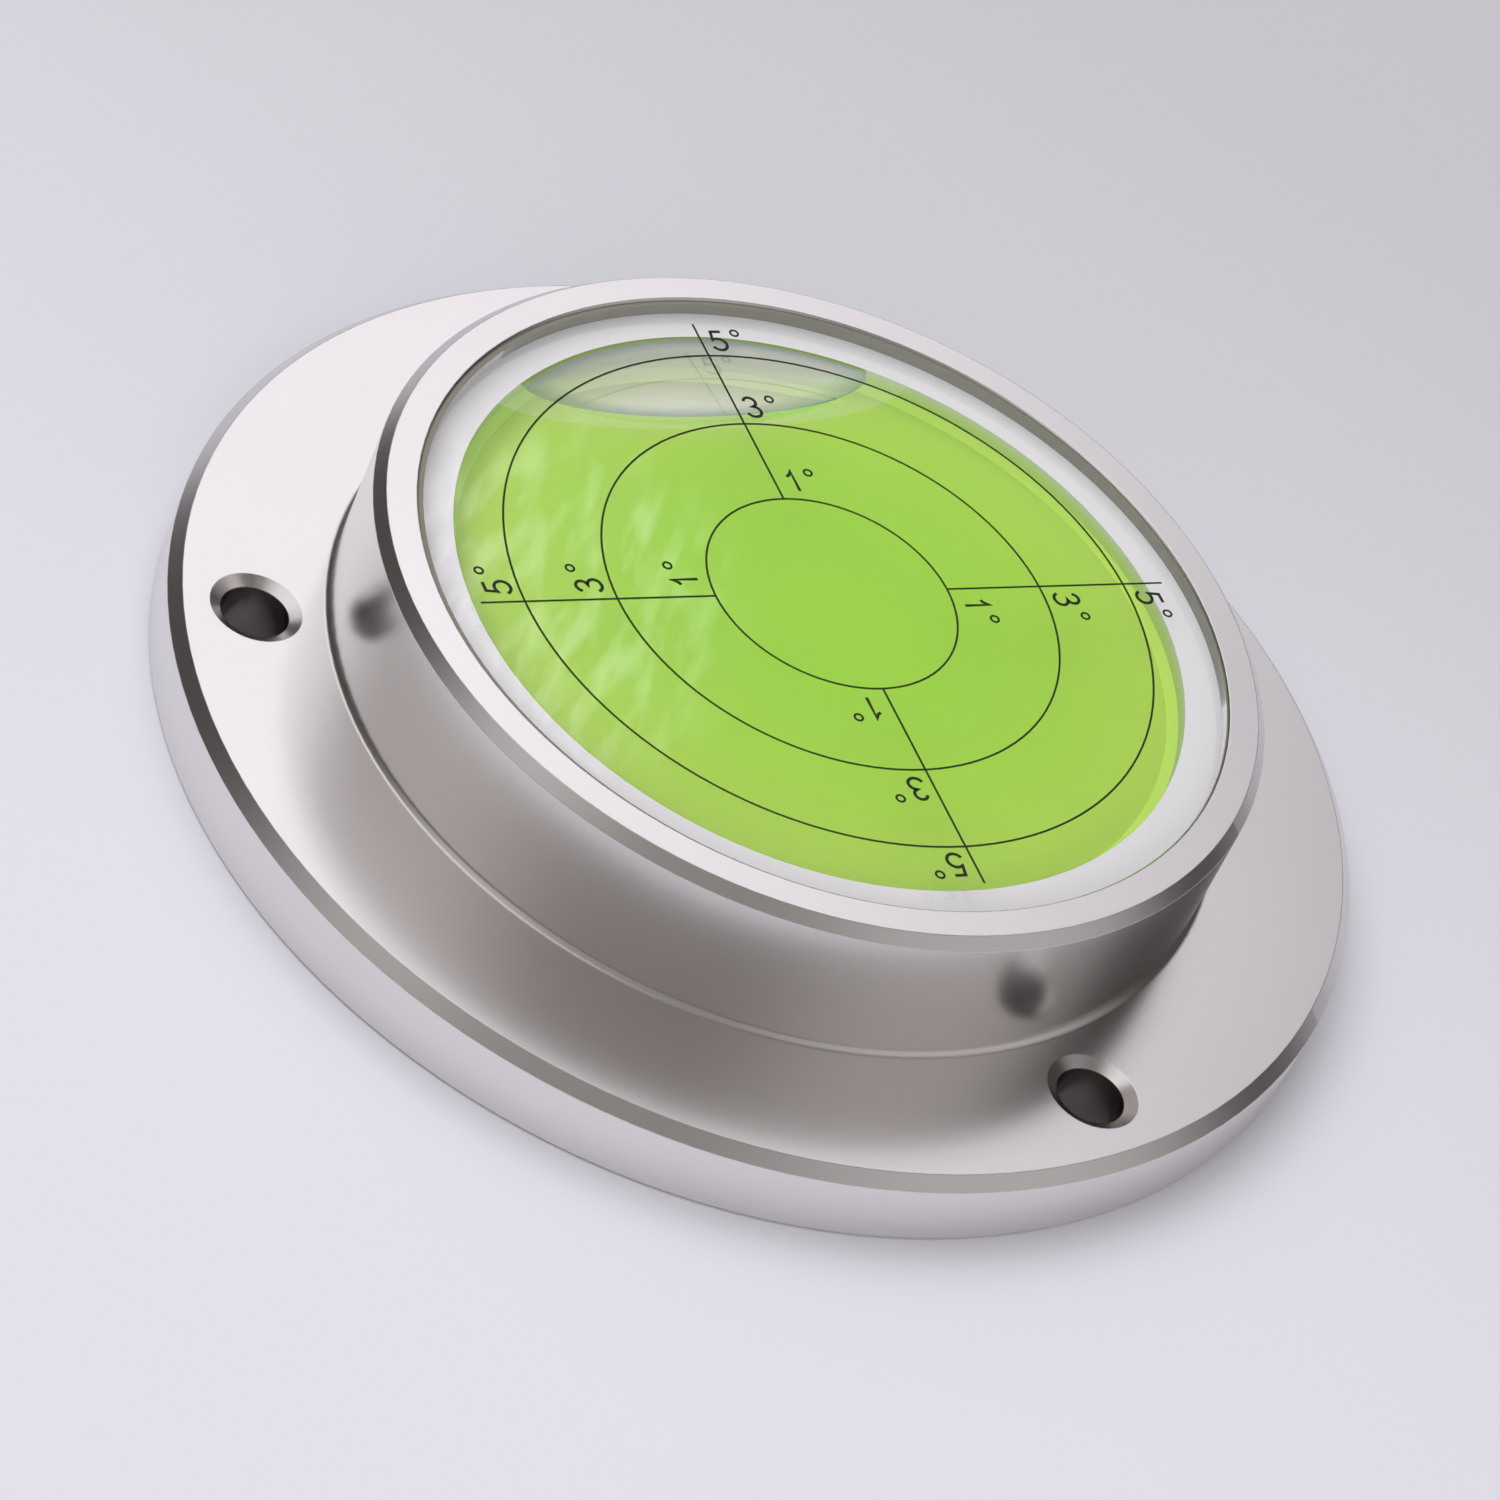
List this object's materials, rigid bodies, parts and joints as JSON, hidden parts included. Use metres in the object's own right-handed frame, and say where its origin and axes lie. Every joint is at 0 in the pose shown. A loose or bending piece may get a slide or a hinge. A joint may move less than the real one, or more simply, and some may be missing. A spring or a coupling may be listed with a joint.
{
  "type": "bullseye level",
  "caption": "Round bullseye level: a turned metal housing with a screw-down flange, a clear lens over green liquid and a bubble, and printed degree rings.",
  "frame": {"origin": "centre of the housing's underside, on the housing's axis", "axes": "+Z along the housing's axis, from the base towards the lens; +Y towards one screw hole; the filling port lies towards -Y"},
  "size_m": [0.08, 0.08, 0.0152],
  "materials": {
    "satin_nickel": "fine satin nickel plate on turned brass",
    "clear_glass": "polished clear glass",
    "sealant": "cured olive-grey sealant",
    "black_ink": "matt black printing ink",
    "green_liquid": "clear liquid dyed yellow-green",
    "ball_plastic": "plain white sealing plastic",
    "screw_steel": "plain bright steel"
  },
  "bodies": {
    "root": {"housing": "satin_nickel", "lens": "clear_glass", "lens_seal": "sealant", "graticule": "black_ink", "liquid": "green_liquid", "sealing_ball": "ball_plastic", "filler_screw": "screw_steel"}
  },
  "joints": []
}
